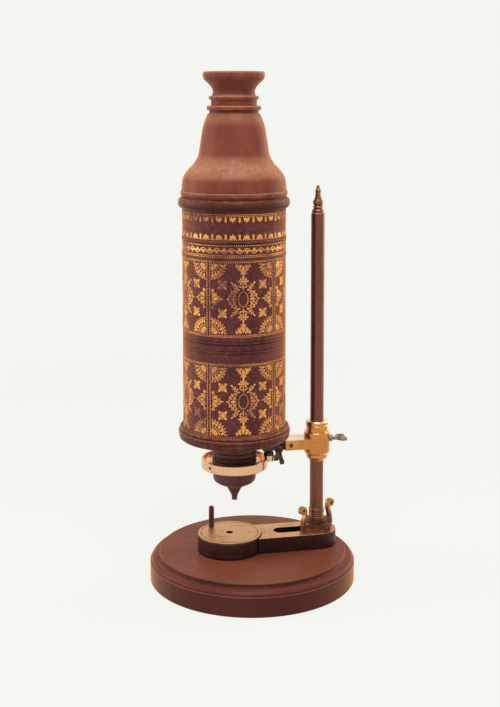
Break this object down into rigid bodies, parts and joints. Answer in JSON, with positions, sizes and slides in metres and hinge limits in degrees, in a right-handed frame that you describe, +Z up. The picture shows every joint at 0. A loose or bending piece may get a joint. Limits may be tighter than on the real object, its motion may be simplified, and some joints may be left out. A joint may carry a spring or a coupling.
{
  "type": "compound microscope",
  "caption": "Old compound microscope: leather-covered tube held by a ball-jointed arm on a side pillar, over a turning stage disc on a round wooden foot.",
  "frame": {"origin": "centre of the round foot's underside", "axes": "+Z up along the pillar, +X from the foot's centre towards the pillar"},
  "size_m": [0.1536, 0.1536, 0.3789],
  "materials": {
    "turned_wood": "satin varnish over reddish-brown wood",
    "dark_wood": "dark satin wood",
    "brass": "worn lacquered brass",
    "pale_brass": "bright polished brass",
    "dark_brass": "dark brown lacquered brass",
    "iron": "blackened iron",
    "leather": "dark brown-red leather with gilt tooling",
    "pasteboard": "bare pasteboard",
    "black_card": "blackened card",
    "glass": "clear"
  },
  "bodies": {
    "foot": {"base_foot": "turned_wood", "pillar": "dark_brass", "pillar_washer": "brass", "pillar_nut": "brass", "pillar_finial": "dark_brass"},
    "slider": {"slot_slider": "brass"},
    "stage_arm": {"stage_arm": "brass"},
    "stage_disc": {"stage_drum": "dark_brass", "stage_plate": "brass", "pivot_washer": "brass"},
    "specimen_pin": {"specimen_pin": "iron"},
    "wing_nut": {"wing_nut": "dark_brass"},
    "sleeve": {"inner_sleeve": "brass", "sleeve_cap": "brass"},
    "arm": {"arm_bar": "brass", "jaw_block": "iron", "jaw_cap": "iron", "jaw_rivet": "dark_brass"},
    "sleeve_screw": {"sleeve_screw": "iron"},
    "jaw_screw": {"jaw_screw": "iron"},
    "ball": {"ball": "iron"},
    "stem": {"ball_stem": "iron"},
    "ring": {"ring": "pale_brass", "ring_screw": "iron"},
    "neck": {"neck_screw": "dark_wood"},
    "snout": {"snout": "dark_wood", "objective_lens": "glass", "objective_ring": "brass"},
    "barrel": {"barrel_flange": "turned_wood", "barrel_tube": "pasteboard", "barrel_leather": "leather"},
    "draw": {"draw_tube": "pasteboard", "draw_collar": "pasteboard", "draw_leather": "leather", "field_stop": "black_card", "top_ring": "turned_wood", "field_lens": "glass", "field_ring": "pasteboard", "bell_cap": "turned_wood", "eye_collar": "turned_wood", "eye_lens": "glass", "eye_ring": "brass"},
    "eye_cup": {"eye_cup": "turned_wood"}
  },
  "joints": [
    {"name": "nut_turn", "type": "hinge", "parent": "foot", "child": "wing_nut", "pos_m": [0.05, 0, 0.036], "axis": [0, 0, 1], "range_deg": [-180, 180]},
    {"name": "stage_swing", "type": "hinge", "parent": "foot", "child": "slider", "pos_m": [0.05, 0, 0.03], "axis": [0, 0, 1], "range_deg": [-50, 50]},
    {"name": "stage_slide", "type": "slide", "parent": "slider", "child": "stage_arm", "axis": [1, 0, 0], "range_m": [-0.002, 0.022]},
    {"name": "disc_turn", "type": "hinge", "parent": "stage_arm", "child": "stage_disc", "pos_m": [-0.0175, 0, 0.03], "axis": [0, 0, 1], "continuous": true},
    {"name": "pin_turn", "type": "hinge", "parent": "stage_disc", "child": "specimen_pin", "pos_m": [-0.02869, 0.01448, 0.03], "axis": [0, 0, 1], "continuous": true},
    {"name": "sleeve_slide", "type": "slide", "parent": "foot", "child": "sleeve", "axis": [0, 0, 1], "range_m": [-0.003, 0.14]},
    {"name": "arm_swing", "type": "hinge", "parent": "sleeve", "child": "arm", "pos_m": [0.05, 0, 0.101], "axis": [0, 0, 1], "continuous": true},
    {"name": "sleeve_screw_turn", "type": "hinge", "parent": "arm", "child": "sleeve_screw", "pos_m": [0.06, 0, 0.1026], "axis": [1, 0, 0], "range_deg": [-180, 180]},
    {"name": "jaw_screw_turn", "type": "hinge", "parent": "arm", "child": "jaw_screw", "pos_m": [0.0205, 0, 0.097], "axis": [0, 0, 1], "range_deg": [-34, 7]},
    {"name": "ball_tilt", "type": "hinge", "parent": "arm", "child": "ball", "pos_m": [0.0126, 0, 0.101], "axis": [0, 1, 0], "range_deg": [-8, 3]},
    {"name": "ball_roll", "type": "hinge", "parent": "ball", "child": "stem", "pos_m": [0.0126, 0, 0.101], "axis": [1, 0, 0], "range_deg": [-6, 6]},
    {"name": "ring_twist", "type": "hinge", "parent": "stem", "child": "ring", "pos_m": [0.0126, 0, 0.09], "axis": [0, 0, 1], "range_deg": [-10, 10]},
    {"name": "neck_rise", "type": "slide", "parent": "ring", "child": "neck", "axis": [0, 0, 1], "range_m": [-0.0012, 0.0036]},
    {"name": "barrel_turn", "type": "hinge", "parent": "neck", "child": "barrel", "pos_m": [-0.0136, 0, 0.11], "axis": [0, 0, 1], "range_deg": [-120, 360]},
    {"name": "snout_turn", "type": "hinge", "parent": "barrel", "child": "snout", "pos_m": [-0.0136, 0, 0.08], "axis": [0, 0, 1], "range_deg": [-360, 0]},
    {"name": "draw_slide", "type": "slide", "parent": "barrel", "child": "draw", "axis": [0, 0, 1], "range_m": [0, 0.045]},
    {"name": "cup_turn", "type": "hinge", "parent": "draw", "child": "eye_cup", "pos_m": [-0.0136, 0, 0.36], "axis": [0, 0, 1], "range_deg": [0, 360]}
  ],
  "couplings": [
    {"joint": "neck_rise", "follows": "barrel_turn", "m_per_rad": 0.00055704}
  ]
}
